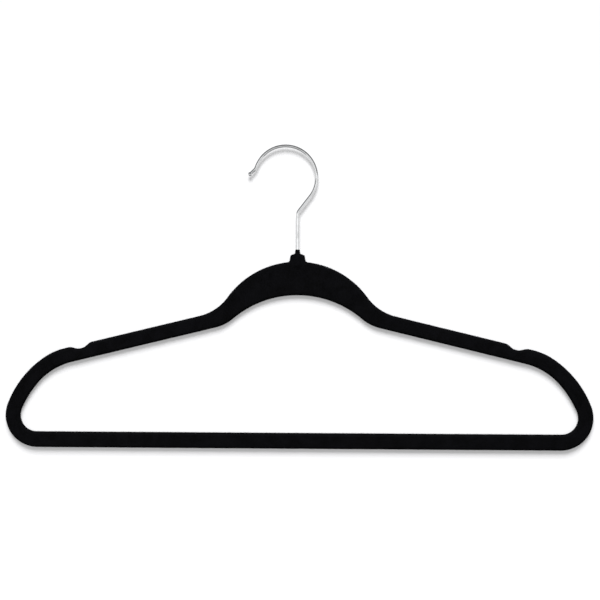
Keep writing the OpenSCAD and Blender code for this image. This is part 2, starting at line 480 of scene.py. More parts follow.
@dataclass(frozen=True)
class ChromePlate:
    """Bright chrome plate over nickel on drawn and bent steel wire.

    It gives the eye a cool white mirror, faintly streaked along the wire by the drawing die and
    dulled in places by handling.
    """

    plate: str = "#D0D1D2"
    handled: str = "#C2C3C3"
    streak_turns: float = 3.5  # real die lines are 0.02 mm apart: drawn coarser so that they show
    streak_mm: float = 14.0
    smudge_mm: float = 7.0
    pit_mm: float = 0.5
    name: str = "chrome_plate_on_drawn_wire"

    def build(self) -> bpy.types.Material:
        """Builds the plate's material.

        Returns:
            The material.
        """
        material, add, place = new_material(self.name)
        round_wire = add("ShaderNodeAttribute", attribute_name=WIRE_ROUND).outputs["Vector"]
        along = add("ShaderNodeAttribute", attribute_name=WIRE_ALONG).outputs["Fac"]
        turns = add(
            "ShaderNodeVectorMath", {0: round_wire, 1: (self.streak_turns, self.streak_turns, 0.0)},
            operation="MULTIPLY",
        )
        run = add("ShaderNodeMath", {0: along, 1: 1 / (self.streak_mm * MM)}, operation="MULTIPLY")
        lift = add("ShaderNodeCombineXYZ", {"Z": run})
        path = add("ShaderNodeVectorMath", {0: turns, 1: lift}, operation="ADD")
        streaks = add("ShaderNodeTexNoise", {"Vector": path, "Scale": 2.0, "Detail": 5.0})
        smudges = add(
            "ShaderNodeTexNoise",
            {"Vector": place, "Scale": 1 / (self.smudge_mm * MM), "Detail": 3.0, "Distortion": 0.8},
        )
        pits = add(
            "ShaderNodeTexNoise", {"Vector": place, "Scale": 1 / (self.pit_mm * MM), "Detail": 2.0}
        )
        dull = add("ShaderNodeMapRange", {"Value": smudges, "From Min": 0.45, "From Max": 0.7})
        colour = add(
            "ShaderNodeMix", {0: dull, 6: linear(self.plate), 7: linear(self.handled)}, data_type="RGBA"
        )
        blur = add("ShaderNodeMath", {0: dull, 1: 0.45, 2: streaks}, operation="MULTIPLY_ADD")
        rough = add(
            "ShaderNodeMapRange", {"Value": blur, "From Min": 0.3, "To Min": 0.06, "To Max": 0.2}
        )
        lines = add("ShaderNodeBump", {"Height": streaks, "Strength": 0.25, "Distance": 0.02 * MM})
        skin = add(
            "ShaderNodeBump", {"Height": pits, "Strength": 0.15, "Distance": 0.01 * MM, "Normal": lines}
        )
        shader = add(
            "ShaderNodeBsdfPrincipled",
            {"Base Color": colour, "Metallic": 1.0, "Roughness": rough, "Normal": skin},
        )
        add("ShaderNodeOutputMaterial", {"Surface": shader})
        return material


@dataclass(frozen=True)
class MouldedAbs:
    """Black ABS, injection moulded in a spark-eroded tool.

    It gives the eye a dense satin black with an even fine grain, which the glue keys to.
    """

    plastic: str = "#1B1B1D"
    flow: str = "#232326"
    grain_mm: float = 0.3
    flow_mm: float = 18.0
    name: str = "black_abs_moulded_spark_grain"

    def build(self) -> bpy.types.Material:
        """Builds the moulding's material.

        Returns:
            The material.
        """
        material, add, place = new_material(self.name)
        grain = add(
            "ShaderNodeTexNoise", {"Vector": place, "Scale": 1 / (self.grain_mm * MM), "Detail": 3.0}
        )
        flow = add(
            "ShaderNodeTexNoise",
            {"Vector": place, "Scale": 1 / (self.flow_mm * MM), "Detail": 2.0, "Distortion": 1.2},
        )
        colour = add(
            "ShaderNodeMix", {0: flow, 6: linear(self.plastic), 7: linear(self.flow)}, data_type="RGBA"
        )
        rough = add("ShaderNodeMapRange", {"Value": grain, "To Min": 0.42, "To Max": 0.58})
        bump = add("ShaderNodeBump", {"Height": grain, "Strength": 0.3, "Distance": 0.03 * MM})
        shader = add(
            "ShaderNodeBsdfPrincipled",
            {"Base Color": colour, "Roughness": rough, "IOR": 1.54, "Normal": bump},
        )
        add("ShaderNodeOutputMaterial", {"Surface": shader})
        return material


@dataclass(frozen=True)
class StudioPaper:
    """Matt paper for the studio, seen from its front only, so that it hides nothing from behind.

    It gives the eye plain, even ground. Where it glows it is a diffuser that is lit from behind.
    """

    name: str
    light: str
    dark: str
    glow: float = 0.0
    cloud_mm: float = 60.0

    def build(self) -> bpy.types.Material:
        """Builds the paper's material.

        Returns:
            The material.
        """
        material, add, place = new_material(self.name)
        clouds = add("ShaderNodeTexNoise", {"Vector": place, "Scale": 1 / (self.cloud_mm * MM)})
        colour = add(
            "ShaderNodeMix", {0: clouds, 6: linear(self.light), 7: linear(self.dark)}, data_type="RGBA"
        )
        paper = add(
            "ShaderNodeBsdfPrincipled",
            {
                "Base Color": colour, "Roughness": 1.0, "Specular IOR Level": 0.0,
                "Emission Color": (1.0, 1.0, 1.0, 1.0), "Emission Strength": self.glow,
            },
        )
        clear = add("ShaderNodeBsdfTransparent")
        back = add("ShaderNodeNewGeometry").outputs["Backfacing"]
        faded = add("ShaderNodeAttribute", attribute_name=SEE_THROUGH).outputs["Fac"]
        gone = add("ShaderNodeMath", {0: back, 1: faded}, operation="MAXIMUM")
        shader = add("ShaderNodeMixShader", {0: gone, 1: paper, 2: clear})
        add("ShaderNodeOutputMaterial", {"Surface": shader})
        return material


# ---- The object ------------------------------------------------------------


@dataclass(frozen=True)
class Placement:
    """Where the workshop frame stands in the row frame, in metres."""

    axis_x: float
    base_z: float

    @classmethod
    def from_cad(cls) -> "Placement":
        """Reads the swivel axis and the bar's underside from the CAD model's box."""
        low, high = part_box("flock_cover")
        return cls((low.x + high.x) / 2, low.z)

    def place(self, points: ArrayLike) -> np.ndarray:
        """Moves rows of x, y and z from workshop millimetres to the row frame's metres."""
        return np.asarray(points) * MM + np.array([self.axis_x, 0.0, self.base_z])


@dataclass(frozen=True)
class Outline:
    """The front view of the flocked strip: a closed loop with an outer and an inner edge.

    An end is the outer curve at either side and a bay is the inner one. Their radii run from the
    shoulder down: the top, the flank and the lower curve.
    """

    width: float = 445.0
    bar_h: float = 12.0
    strip_w: float = 11.4
    edge_r: float = 2.0
    crown_top: float = 141.6
    crown_r: float = 65.5
    crown_depth: float = 25.4
    arch_r: float = 75.6
    crown_blend_r: float = 37.0
    arch_blend_r: float = 33.0
    shoulder_fall: float = 13.6
    shoulder_z: float = 118.3
    end_radii: tuple[float, float, float] = (47.0, 75.0, 24.5)
    end_flank_a: float = 21.0
    bay_radii: tuple[float, float, float] = (50.0, 80.0, 12.5)
    bay_flank_a: float = 24.0
    notch_x: float = 156.8
    notch_depth: float = 2.9
    notch_parts: tuple[float, float, float] = (6.8, 1.9, 9.1)  # the way in, the floor, the way out
    neck_w: float = 11.1
    neck_splay: float = 8.0
    neck_peak: float = 6.8
    neck_slope: float = 21.0
    neck_corner_r: float = 1.2
    neck_blend_r: float = 2.1
    boss_edge_r: float = 1.1
    step: float = 1.5
    neck_step: float = 0.4
    notch_steps: int = 32
    curve_steps: int = 24
    corner_steps: int = 8

    @property
    def peak_z(self) -> float:
        """Height of the boss's peak."""
        return self.crown_top + self.neck_peak

    @property
    def along(self) -> np.ndarray:
        """Unit vector down the right shoulder."""
        return towards(-self.shoulder_fall)

    @property
    def square_to(self) -> np.ndarray:
        """Unit vector square to the right shoulder, upwards."""
        return towards(90 - self.shoulder_fall)

    @property
    def shoulder_d(self) -> float:
        """Distance of the shoulder's top edge from the workshop origin."""
        return self.shoulder_z * math.cos(math.radians(self.shoulder_fall))

    @property
    def crown_c(self) -> np.ndarray:
        """Centre of the crown's outer arc."""
        return np.array([0.0, self.crown_top - self.crown_r])

    @property
    def arch_c(self) -> np.ndarray:
        """Centre of the arch."""
        return np.array([0.0, self.crown_top - self.crown_depth - self.arch_r])

    def notch_at(self, x: np.ndarray) -> np.ndarray:
        """Depth of the strap notch.

        Args:
            x: Distances from the swivel axis.

        Returns:
            The depths there.
        """
        ramp_in, floor, ramp_out = self.notch_parts
        rise = (1 - np.cos(np.pi * np.clip((x - self.notch_x) / ramp_in, 0, 1))) / 2
        away = (x - self.notch_x - ramp_in - floor) / ramp_out
        return self.notch_depth * rise * (1 + np.cos(np.pi * np.clip(away, 0, 1))) / 2

    def notch(self, edge: Edge) -> np.ndarray:
        """Points across the notch on the top edge, or opposite it on the under edge.

        Args:
            edge: The edge that the points are on.

        Returns:
            Rows of points.
        """
        x = self.notch_x + sum(self.notch_parts) * np.arange(self.notch_steps) / self.notch_steps
        z = (self.shoulder_d - self.square_to[0] * x) / self.square_to[1]
        slope = np.full(len(x), math.tan(math.radians(self.shoulder_fall)))
        if edge is Edge.OUTER:
            hair = 0.01
            slope = slope + (self.notch_at(x + hair) - self.notch_at(x - hair)) / (2 * hair)
            points = np.c_[x, z - self.notch_at(x)]
        else:
            points = np.c_[x, z] - self.strip_w * self.square_to
        normal = np.c_[slope, np.ones(len(x))] / np.hypot(slope, 1)[:, None] * edge.value
        return np.c_[points, normal, np.full(len(x), self.edge_r)]

    def side(
        self, edge: Edge, centre: np.ndarray, radius: float, start: float, blend_r: float,
        distance: float, radii: tuple[float, float, float], flank_a: float, low_c: np.ndarray,
    ) -> np.ndarray:
        """Right half of an edge, from the crown or the arch to the middle of the bar.

        Args:
            edge: The edge that is made.
            centre: Centre of the arc over or under the crown.
            radius: Radius of that arc.
            start: Angle at which the half starts on it.
            blend_r: Radius that blends it into the shoulder.
            distance: Distance of the shoulder's line from the workshop origin.
            radii: Radii of the end's top, flank and lower curves.
            flank_a: Angle at which the flank gives way to the lower curve.
            low_c: Centre of the lower curve.

        Returns:
            Rows of points.
        """
        top_r, flank_r, low_r = radii
        blend_c = touching(centre, radius, self.square_to, distance, blend_r, self.along)
        flank_c = low_c - (flank_r - low_r) * towards(flank_a)
        top_c = touching(flank_c, flank_r, self.square_to, distance, -top_r, self.along)
        top_a = bearing(flank_c, top_c)
        blend_a = bearing(centre, blend_c)
        side, round_r, steps = edge.value, self.edge_r, self.curve_steps
        return np.vstack([
            arc(centre, radius, start, blend_a, steps, side, round_r),
            arc(blend_c, blend_r, 180 + blend_a, 270 - self.shoulder_fall, steps, -side, round_r, True),
            self.notch(edge),
            arc(top_c, top_r, 90 - self.shoulder_fall, top_a, steps, side, round_r),
            arc(flank_c, flank_r, top_a, flank_a, steps, side, round_r),
            arc(low_c, low_r, flank_a, -90, 2 * steps, side, round_r, True),
        ])

    def halves(self) -> tuple[np.ndarray, np.ndarray]:
        """The right halves of the outer and the inner edge, whose points pair up.

        Returns:
            The outer and the inner rows of points.
        """
        slope_n, side_n = towards(90 - self.neck_slope), towards(self.neck_splay)
        slope_d = slope_n[1] * self.peak_z
        side_d = side_n @ np.array([self.neck_w / 2, self.crown_top + self.neck_peak / 2])
        corner_c = np.linalg.solve(
            np.array([slope_n, side_n]),
            np.array([slope_d - self.neck_corner_r, side_d - self.neck_corner_r]),
        )
        blend_c = touching(
            self.crown_c, self.crown_r, side_n, side_d, self.neck_blend_r,
            np.array([-side_n[1], side_n[0]]),
        )
        crown_a = bearing(self.crown_c, blend_c)
        corner = arc(
            corner_c, self.neck_corner_r, 90 - self.neck_slope, self.neck_splay, self.corner_steps, 1,
            self.boss_edge_r, True,
        )
        blend = arc(
            blend_c, self.neck_blend_r, 180 + self.neck_splay, 180 + crown_a, self.corner_steps, -1,
            self.edge_r,
        )
        boss = np.vstack([[[0, self.peak_z, 0, 1, self.boss_edge_r]], corner, blend])
        angle = np.arccos(boss[:, 0] / self.arch_r)
        arch = np.c_[
            boss[:, 0], self.arch_c[1] + self.arch_r * np.sin(angle), -np.cos(angle), -np.sin(angle),
            np.full(len(boss), self.edge_r),
        ]
        arch_a = math.degrees(math.acos(self.crown_r * math.cos(math.radians(crown_a)) / self.arch_r))
        end_low, bay_low = self.end_radii[2], self.bay_radii[2]
        outer = self.side(
            Edge.OUTER, self.crown_c, self.crown_r, crown_a, self.crown_blend_r, self.shoulder_d,
            self.end_radii, self.end_flank_a, np.array([self.width / 2 - end_low, end_low]),
        )
        inner = self.side(
            Edge.INNER, self.arch_c, self.arch_r, arch_a, self.arch_blend_r,
            self.shoulder_d - self.strip_w, self.bay_radii, self.bay_flank_a,
            np.array([self.width / 2 - self.strip_w - bay_low, self.bar_h + bay_low]),
        )
        return np.vstack([boss, outer]), np.vstack([arch, inner])

    def stations(self) -> tuple[np.ndarray, np.ndarray]:
        """Both edges all the way round, in pairs of points that lie no more than a step apart.

        Returns:
            The outer and the inner rows of points.
        """
        loops = []
        for half in self.halves():
            mirrored = half[:0:-1] * np.array([-1, 1, -1, 1, 1])
            loops.append(np.vstack([half, mirrored]))
        outer, inner = [], []
        for i in range(len(loops[0])):
            here = [loop[i] for loop in loops]
            there = [loop[(i + 1) % len(loop)] for loop in loops]
            length = max(np.hypot(*(b - a)[:2]) for a, b in zip(here, there))
            near_axis = max(abs(here[0][0]), abs(there[0][0])) < self.neck_w
            in_neck = near_axis and here[0][1] > self.shoulder_z
            count = math.ceil(length / (self.neck_step if in_neck else self.step))
            for k in range(count):
                for line, a, b in zip((outer, inner), here, there):
                    point = a + (b - a) * k / count
                    point[2:4] /= np.hypot(*point[2:4])
                    line.append(point)
        return np.array(outer), np.array(inner)


@dataclass
class FlockCover:
    """The coat of flock over the whole moulding, with its taper round the hook's foot."""

    placement: Placement
    outline: Outline = field(default_factory=Outline)
    finish: NylonFlock = field(default_factory=NylonFlock)
    fibre_finish: FlockFibre = field(default_factory=FlockFibre)
    thickness: float = 5.0
    barrel_r: float = 3.7
    barrel_blend: float = 0.9
    socket_z: float = 138.7
    bore_r: float = 1.2
    bore_sides: int = 48
    tip_h: float = 9.1
    tip_foot_r: float = 1.95
    tip_top_r: float = 1.65
    tip_skirt: float = 0.9  # how far below its foot the collar starts to flare
    tip_root: float = 1.6  # how far below its foot it ends, inside the boss
    tip_flare: float = 0.5
    tip_flare_h: float = 0.45
    tip_lip_h: float = 0.25
    tip_lip: tuple[tuple[float, float], ...] = ((0.07, 0.08), (0.17, 0.0))  # how far in and down
    tip_mouth: float = 0.1
    tip_nap: float = 0.5
    tip_rows: int = 14
    tip_sides: int = 56
    edge_rows: int = 8
    face_rows: int = 18
    nap_reach: float = 1.7
    unevenness: tuple[tuple[float, float], ...] = ((7.0, 0.05), (2.2, 0.035))  # how wide and deep
    fibre_length: float = 0.7
    fibre_r: float = 0.045  # real fibres are 0.02 mm thick: drawn as coarse as they need to show
    fibre_scale: tuple[float, float] = (0.55, 1.1)
    fibre_lean: float = 0.9
    fibres_per_mm2: float = 1.25
    face_share: float = 0.55
    edge_share: float = 1.3  # what an edge has more than a face
    seed: int = 7

    def half_thickness(self, x: np.ndarray, z: np.ndarray) -> np.ndarray:
        """Half the thickness, which the barrel in the neck swells.

        Args:
            x: Distances from the swivel axis.
            z: Heights above the bar's underside.

        Returns:
            The half thicknesses there.
        """
        below = np.clip(self.socket_z - z, 0, self.barrel_r)
        radius = np.sqrt(self.barrel_r**2 - below**2)
        swell = np.sqrt(np.clip(radius**2 - x**2, 0, None))
        return smooth_max(np.full(np.shape(x), self.thickness / 2), swell, self.barrel_blend)

    def rim(self, line: np.ndarray, turn: np.ndarray) -> list[tuple[np.ndarray, float, np.ndarray]]:
        """Lays out the columns of points round one edge, from one face to the other.

        Args:
            line: Rows of points along the edge.
            turn: Each column's angle round the edge, in radians.

        Returns:
            The x and z of each column, its share of half the thickness and how far in it lies.
        """
        columns = []
        for angle in turn:
            inset = line[:, 4] * (1 - math.cos(angle))
            columns.append((line[:, :2] - inset[:, None] * line[:, 2:4], math.sin(angle), inset))
        return columns

    def face(
        self, start: np.ndarray, end: np.ndarray, depth: float
    ) -> list[tuple[np.ndarray, float, np.ndarray]]:
        """Lays out the columns of points across one face, from one edge to the other.

        Args:
            start: Rows of points along the edge that the face starts from.
            end: Rows of points along the edge that it ends at.
            depth: 1 for the back face and -1 for the front.

        Returns:
            The x and z of each column, its share of half the thickness and how far in it lies.
        """
        a, b = (line[:, :2] - line[:, 4:] * line[:, 2:4] for line in (start, end))
        span = np.hypot(*(b - a).T)
        shares = np.arange(1, self.face_rows + 1) / (self.face_rows + 1)
        return [
            (a + (b - a) * share, depth, self.outline.edge_r + span * min(share, 1 - share))
            for share in shares
        ]

    def strip(self) -> bpy.types.Mesh:
        """Builds the closed strip with its crown, shoulders, ends, bar and neck.

        Returns:
            The strip's mesh.
        """
        outer, inner = self.outline.stations()
        turn = np.radians(np.linspace(-90, 90, self.edge_rows + 1))
        columns, depths, insets = zip(
            *self.rim(outer, turn), *self.face(outer, inner, 1.0),
            *self.rim(inner, turn[::-1]), *self.face(inner, outer, -1.0),
        )
        x, z = np.moveaxis(np.stack(columns, 1), 2, 0)
        y = self.half_thickness(x, z) * np.array(depths)
        points = self.placement.place(np.stack([x, y, z], 2).reshape(-1, 3))
        mesh = mesh_of("flock_strip", points, tube_faces(len(outer), len(columns), True))
        nearness = np.exp(-((np.stack(insets, 1).reshape(-1) / self.nap_reach) ** 2))
        set_attribute(mesh, NAP_EDGE, nearness)
        set_attribute(mesh, PILE_MASK, np.ones(len(mesh.vertices)))
        self.roughen(mesh)
        return mesh

    def roughen(self, mesh: bpy.types.Mesh) -> None:
        """Lets the coat's surface wander in and out a little, as a sprayed coat does.

        Args:
            mesh: The mesh to change in place.
        """
        moved = []
        for vertex in mesh.vertices:
            out = sum(depth * noise.noise(vertex.co / (size * MM)) for size, depth in self.unevenness)
            moved.append(vertex.co + vertex.normal * out * MM)
        for vertex, co in zip(mesh.vertices, moved):
            vertex.co = co

    def bored(self, mesh: bpy.types.Mesh) -> bpy.types.Mesh:
        """Bores the wire's way down through the neck.

        Args:
            mesh: The strip's mesh.

        Returns:
            The strip with its bore.
        """
        sides = self.bore_sides
        heights = (self.socket_z, self.outline.peak_z + self.tip_h)
        points = self.placement.place([
            [*(towards(360 * i / sides) * self.bore_r), z] for z in heights for i in range(sides)
        ])
        caps = [tuple(range(sides)), tuple(range(sides, 2 * sides))]
        cutter = link_object("bore", mesh_of("bore", points, tube_faces(2, sides, False) + caps))
        host = link_object("strip", mesh)
        cut = host.modifiers.new("bore", "BOOLEAN")
        cut.operation, cut.solver, cut.object = "DIFFERENCE", "EXACT", cutter
        made = bake_modifiers(host, "flock_cover_coat")
        bpy.data.objects.remove(cutter)
        return made

    def tip(self) -> bpy.types.Mesh:
        """Builds the tapered collar of flock round the wire, with a soft foot on the boss.

        Returns:
            The collar's mesh.
        """
        top = self.outline.crown_top + self.tip_h
        foot = self.outline.peak_z - self.tip_foot_r * math.tan(math.radians(self.outline.neck_slope))
        root = foot - self.tip_root
        heights = np.linspace(foot - self.tip_skirt, top - self.tip_lip_h, self.tip_rows)
        rise = np.clip((heights - foot) / (top - foot), 0, 1)
        flare = self.tip_flare * np.exp(-(heights - heights[0]) / self.tip_flare_h)
        outside = self.tip_foot_r + (self.tip_top_r - self.tip_foot_r) * rise + flare
        lip = [(self.tip_top_r - inset, top - drop) for inset, drop in self.tip_lip]
        inside = [(self.bore_r, top - self.tip_mouth), (self.bore_r, root)]
        profile = [(outside[0], root), *zip(outside, heights), *lip, *inside]
        sides = self.tip_sides
        points = self.placement.place([
            [*(towards(360 * i / sides) * r), z] for i in range(sides) for r, z in profile
        ])
        mesh = mesh_of("flock_tip", points, tube_faces(sides, len(profile), True))
        # The whole collar counts as half an edge: more fibres, and half the painted edge sheen.
        set_attribute(mesh, NAP_EDGE, np.full(len(mesh.vertices), self.tip_nap))
        radii = np.array([math.hypot(v.co.x - self.placement.axis_x, v.co.y) for v in mesh.vertices])
        set_attribute(mesh, PILE_MASK, radii > (self.bore_r + self.tip_mouth) * MM)
        return mesh

    def pile_tree(self, material: bpy.types.Material) -> bpy.types.NodeTree:
        """Builds the node tree that plants single fibres on the coat.

        Args:
            material: The fibres' material.

        Returns:
            The node tree, with its sizes as named inputs.
        """
        sizes = {
            "Coat": None, "Fibre length": self.fibre_length * MM, "Fibre radius": self.fibre_r * MM,
            "Fibres per square metre": self.fibres_per_mm2 / MM**2, "Lean": self.fibre_lean,
            "Seed": self.seed,
        }
        tree, add, given = open_group("flock_pile", sizes, "Pile")
        mask, edge = (
            add("GeometryNodeInputNamedAttribute", {"Name": name}, data_type="FLOAT")
            for name in (PILE_MASK, NAP_EDGE)
        )
        thick = add(
            "ShaderNodeMath", {0: edge, 1: self.edge_share, 2: self.face_share},
            operation="MULTIPLY_ADD",
        )
        share = add("ShaderNodeMath", {0: thick, 1: mask}, operation="MULTIPLY")
        density = add(
            "ShaderNodeMath", {0: share, 1: given["Fibres per square metre"]}, operation="MULTIPLY"
        )
        spots = add(
            "GeometryNodeDistributePointsOnFaces",
            {"Mesh": given["Coat"], "Density": density, "Seed": given["Seed"]},
        )
        fibre = add(
            "GeometryNodeMeshCone",
            {
                "Vertices": 3, "Radius Top": 0.0, "Radius Bottom": given["Fibre radius"],
                "Depth": given["Fibre length"],
            },
            fill_type="NGON",
        )
        back = add("ShaderNodeMath", {0: given["Lean"], 1: -1.0}, operation="MULTIPLY")
        least = add("ShaderNodeCombineXYZ", {"X": back, "Y": back})
        most = add("ShaderNodeCombineXYZ", {"X": given["Lean"], "Y": given["Lean"], "Z": math.tau})
        lean = add(
            "FunctionNodeRandomValue", {0: least, 1: most, "Seed": given["Seed"]},
            data_type="FLOAT_VECTOR",
        )
        turn = add("FunctionNodeEulerToRotation", {"Euler": lean})
        stance = add(
            "FunctionNodeRotateRotation",
            {"Rotation": spots.outputs["Rotation"], "Rotate By": turn}, rotation_space="LOCAL",
        )
        shortest, longest = self.fibre_scale
        size = add(
            "FunctionNodeRandomValue", {2: shortest, 3: longest, "Seed": given["Seed"]},
            data_type="FLOAT",
        )
        planted = add(
            "GeometryNodeInstanceOnPoints",
            {"Points": spots, "Instance": fibre, "Rotation": stance, "Scale": size},
        )
        return close_group(tree, planted, material)

    def pile(self, coat: bpy.types.Mesh) -> bpy.types.Object:
        """Plants the fibres.

        Args:
            coat: The coat that they stand on.

        Returns:
            The fibres, as one plain mesh object.
        """
        host = link_object("pile_host", coat.copy())
        nodes = host.modifiers.new("pile", "NODES")
        nodes.node_group = self.pile_tree(self.fibre_finish.build())
        return link_object("flock_fibres", bake_modifiers(host, "flock_fibres"))

    def build(self) -> list[bpy.types.Object]:
        """Builds and dresses the coat and its fibres.

        Returns:
            The coat and the fibres.
        """
        shape = bmesh.new()
        shape.from_mesh(self.bored(self.strip()))
        shape.from_mesh(self.tip())
        mesh = bpy.data.meshes.new("flock_coat")
        shape.to_mesh(mesh)
        shape.free()
        coat = link_object("flock_coat", mesh)
        coat.data.materials.append(self.finish.build())
        fibres = self.pile(mesh)
        for piece in (coat, fibres):
            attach(piece, Body.HANGER.value)
        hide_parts("flock_cover")
        return [coat, fibres]


@dataclass
class WireHook:
    """The plated wire hook, from its upset head to its rounded end."""

    placement: Placement
    finish: ChromePlate = field(default_factory=ChromePlate)
    wire_r: float = 1.15
    head_z: float = 138.0
    head_r: float = 2.0
    head_t: float = 1.4
    head_rim: tuple[tuple[float, float], ...] = ((0.0, 0.25), (0.08, 0.07), (0.25, 0.0))
    head_fillet: tuple[tuple[float, float], ...] = ((0.01, 0.15), (0.12, 0.03), (0.35, 0.0))
    head_clear: float = 1.0  # how far over the head the even steps start
    curl_r: float = 23.6
    curl_offset: float = 9.3
    curl_z: float = 205.5
    lean: float = 37.9
    kink_r: float = 5.0
    curl_end: float = 161.0
    flick_r: float = 6.0
    flick_turn: float = 27.0
    flick_len: float = 4.3
    ball_r: float = 1.6
    ball_start: float = 25.0  # angle from the wire's side at which the ball swells out of it
    ball_blend: float = 0.2
    ball_rows: int = 24
    end_step: float = 0.01
    end_r: float = 0.001
    step: float = 0.8
    kink_steps: int = 32
    curl_steps: int = 400
    sides: int = 32

    def centre_line(self) -> np.ndarray:
        """The middle of the wire as a smooth run of points.

        Returns:
            Rows of x and z in millimetres.
        """
        lean = math.radians(self.lean)
        drop = (self.curl_r * math.cos(lean) - self.curl_offset) / math.tan(lean)
        kink_z = self.curl_z - self.curl_r * math.sin(lean) - drop
        bend_z = kink_z - self.kink_r * math.tan(lean / 2)
        curl_c = np.array([-self.curl_offset, self.curl_z])
        flick_c = curl_c + (self.curl_r + self.flick_r) * towards(self.curl_end)
        flick_a = 180 + self.curl_end - self.flick_turn
        last = flick_c + self.flick_r * towards(flick_a)
        ahead = towards(flick_a - 90)
        kink_c = np.array([self.kink_r, bend_z])
        return np.vstack([
            [[0.0, self.head_z]],
            arc(kink_c, self.kink_r, 180, 180 - self.lean, self.kink_steps, last=True)[:, :2],
            arc(curl_c, self.curl_r, -self.lean, self.curl_end, self.curl_steps)[:, :2],
            arc(flick_c, self.flick_r, 180 + self.curl_end, flick_a, self.kink_steps, last=True)[:, :2],
            [last + (self.flick_len + self.ball_r) * ahead],
        ])

    def profile(self, length: float) -> tuple[np.ndarray, np.ndarray]:
        """The wire's radius at each place along it.

        Args:
            length: The length of the centre line.

        Returns:
            The places along the wire and the radii there.
        """
        rim = [(depth, self.head_r - cut) for depth, cut in self.head_rim]
        head = [
            (0.0, self.end_r), *((max(depth, self.end_step), r) for depth, r in rim),
            *((self.head_t - depth, r) for depth, r in reversed(rim)),
            *((self.head_t + rise, self.wire_r + more) for rise, more in self.head_fillet),
        ]
        run = np.arange(self.head_t + self.head_clear, length - 2 * self.ball_r, self.step)
        turn = np.radians(np.linspace(self.ball_start, 180, self.ball_rows))
        past = -self.ball_r * np.cos(turn)
        ball = np.sqrt(np.clip(self.ball_r**2 - past**2, 0, None))
        neck = smooth_max(np.full(len(past), self.wire_r), ball, self.ball_blend)
        ball = np.where(past < 0, neck, ball)
        ball[-1] = self.end_r
        places = np.r_[[p for p, _ in head], run, length - self.ball_r + past]
        return places, np.r_[[r for _, r in head], np.full(len(run), self.wire_r), ball]

    def sweep_tree(self, material: bpy.types.Material) -> bpy.types.NodeTree:
        """Builds the node tree that sweeps the round wire along its centre line.

        Args:
            material: The wire's material.

        Returns:
            The node tree, with the number of sides as a named input.
        """
        tree, add, given = open_group("plated_wire", {"Line": None, "Sides": self.sides}, "Wire")
        line = add("GeometryNodeMeshToCurve", {"Mesh": given["Line"]})
        reach = add("GeometryNodeSplineParameter").outputs["Length"]
        marked = add(
            "GeometryNodeStoreNamedAttribute",
            {"Geometry": line, "Name": WIRE_ALONG, "Value": reach},
            data_type="FLOAT", domain="POINT",
        )
        circle = add("GeometryNodeCurvePrimitiveCircle", {"Resolution": given["Sides"], "Radius": 1.0})
        spot = add("GeometryNodeInputPosition")
        ring = add(
            "GeometryNodeStoreNamedAttribute",
            {"Geometry": circle, "Name": WIRE_ROUND, "Value": spot},
            data_type="FLOAT_VECTOR", domain="POINT",
        )
        radius = add("GeometryNodeInputNamedAttribute", {"Name": WIRE_RADIUS}, data_type="FLOAT")
        swept = add(
            "GeometryNodeCurveToMesh",
            {"Curve": marked, "Profile Curve": ring, "Scale": radius, "Fill Caps": True},
        )
        return close_group(tree, swept, material)

    def build(self) -> bpy.types.Object:
        """Builds and dresses the hook.

        Returns:
            The hook.
        """
        line = self.centre_line()
        reach = lengths_along(line)
        places, radii = self.profile(reach[-1])
        x, z = (np.interp(places, reach, line[:, i]) for i in (0, 1))
        points = self.placement.place(np.c_[x, np.zeros(len(x)), z])
        mesh = bpy.data.meshes.new("hook_line")
        mesh.from_pydata([tuple(p) for p in points], [(i, i + 1) for i in range(len(points) - 1)], [])
        set_attribute(mesh, WIRE_RADIUS, radii * MM)
        host = link_object("hook_line", mesh)
        host.modifiers.new("wire", "NODES").node_group = self.sweep_tree(self.finish.build())
        wire = bake_modifiers(host, "hook_wire")
        face_outwards(wire)
        hook = link_object("hook_wire", wire)
        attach(hook, Body.HOOK.value)
        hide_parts("wire_hook")
        return hook


@dataclass
class Moulding:
    """The one-piece moulding under the flock, whose CAD shape stays."""

    finish: MouldedAbs = field(default_factory=MouldedAbs)

    def dress(self) -> bpy.types.Object:
        """Gives the CAD moulding its finish.

        Returns:
            The moulding.
        """
        moulding = frame["nodes"]["moulded_body"]
        moulding.data.materials.clear()
        moulding.data.materials.append(self.finish.build())
        return moulding


# ---- The studio ------------------------------------------------------------


